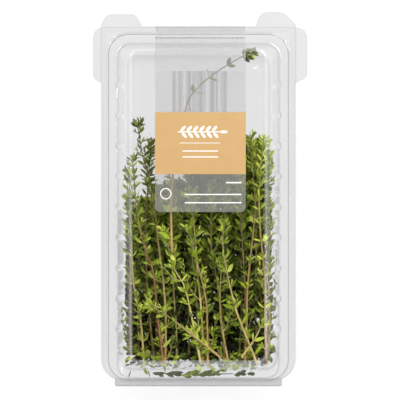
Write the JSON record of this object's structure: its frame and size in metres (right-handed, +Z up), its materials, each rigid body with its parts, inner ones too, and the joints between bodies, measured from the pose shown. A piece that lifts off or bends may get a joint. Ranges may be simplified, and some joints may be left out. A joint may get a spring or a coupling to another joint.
{
  "type": "thyme sprigs in hinged clamshell",
  "caption": "Loose cut thyme sprigs lying side by side in a clear hinged clamshell pack with a film label across its lid.",
  "frame": {"origin": "centre of the closed pack's footprint, on the surface that the tray's base stands on", "axes": "+Y from the hinge to the opening edge, +Z up through the lid, +X to the right of someone who looks down on the lid with the hinge nearest"},
  "size_m": [0.1096, 0.192, 0.0347],
  "materials": {
    "clear_plastic": "gloss",
    "label_film": "satin",
    "thyme": "matte",
    "fallen_thyme": "matte"
  },
  "bodies": {
    "tray": {"tray": "clear_plastic", "label_seal": "label_film", "label_back": "label_film", "sprig_01": "thyme", "sprig_02": "thyme", "sprig_03": "thyme", "sprig_04": "thyme", "sprig_05": "thyme", "sprig_06": "thyme", "sprig_07": "thyme", "sprig_08": "thyme", "sprig_09": "thyme", "sprig_10": "thyme", "sprig_11": "thyme", "sprig_12": "thyme", "sprig_13": "thyme", "sprig_14": "thyme", "sprig_15": "thyme", "sprig_16": "thyme", "sprig_17": "thyme", "sprig_18": "thyme", "sprig_19": "thyme", "sprig_20": "thyme", "sprig_21": "thyme", "sprig_22": "thyme", "sprig_23": "thyme", "sprig_24": "thyme", "sprig_25": "thyme", "sprig_26": "thyme", "sprig_27": "thyme", "sprig_28": "thyme", "sprig_29": "thyme", "sprig_30": "thyme", "sprig_31": "thyme", "sprig_32": "thyme", "sprig_33": "thyme", "sprig_34": "thyme", "sprig_35": "thyme", "sprig_36": "thyme", "sprig_37": "thyme", "sprig_38": "thyme", "sprig_39": "thyme", "sprig_40": "thyme", "sprig_41": "thyme", "sprig_42": "thyme", "sprig_43": "thyme", "sprig_44": "thyme", "fallen_bit_01": "fallen_thyme", "fallen_bit_02": "fallen_thyme", "fallen_bit_03": "fallen_thyme", "fallen_bit_04": "fallen_thyme", "fallen_bit_05": "fallen_thyme", "fallen_bit_06": "fallen_thyme", "fallen_bit_07": "fallen_thyme", "fallen_bit_08": "fallen_thyme", "fallen_bit_09": "fallen_thyme", "fallen_bit_10": "fallen_thyme"},
    "lid": {"lid": "clear_plastic", "label_front": "label_film"}
  },
  "joints": [
    {"name": "lid_hinge", "type": "hinge", "parent": "tray", "child": "lid", "pos_m": [-0.0009, -0.09615, 0.02265], "axis": [1, 0, 0], "range_deg": [0, 180]}
  ]
}
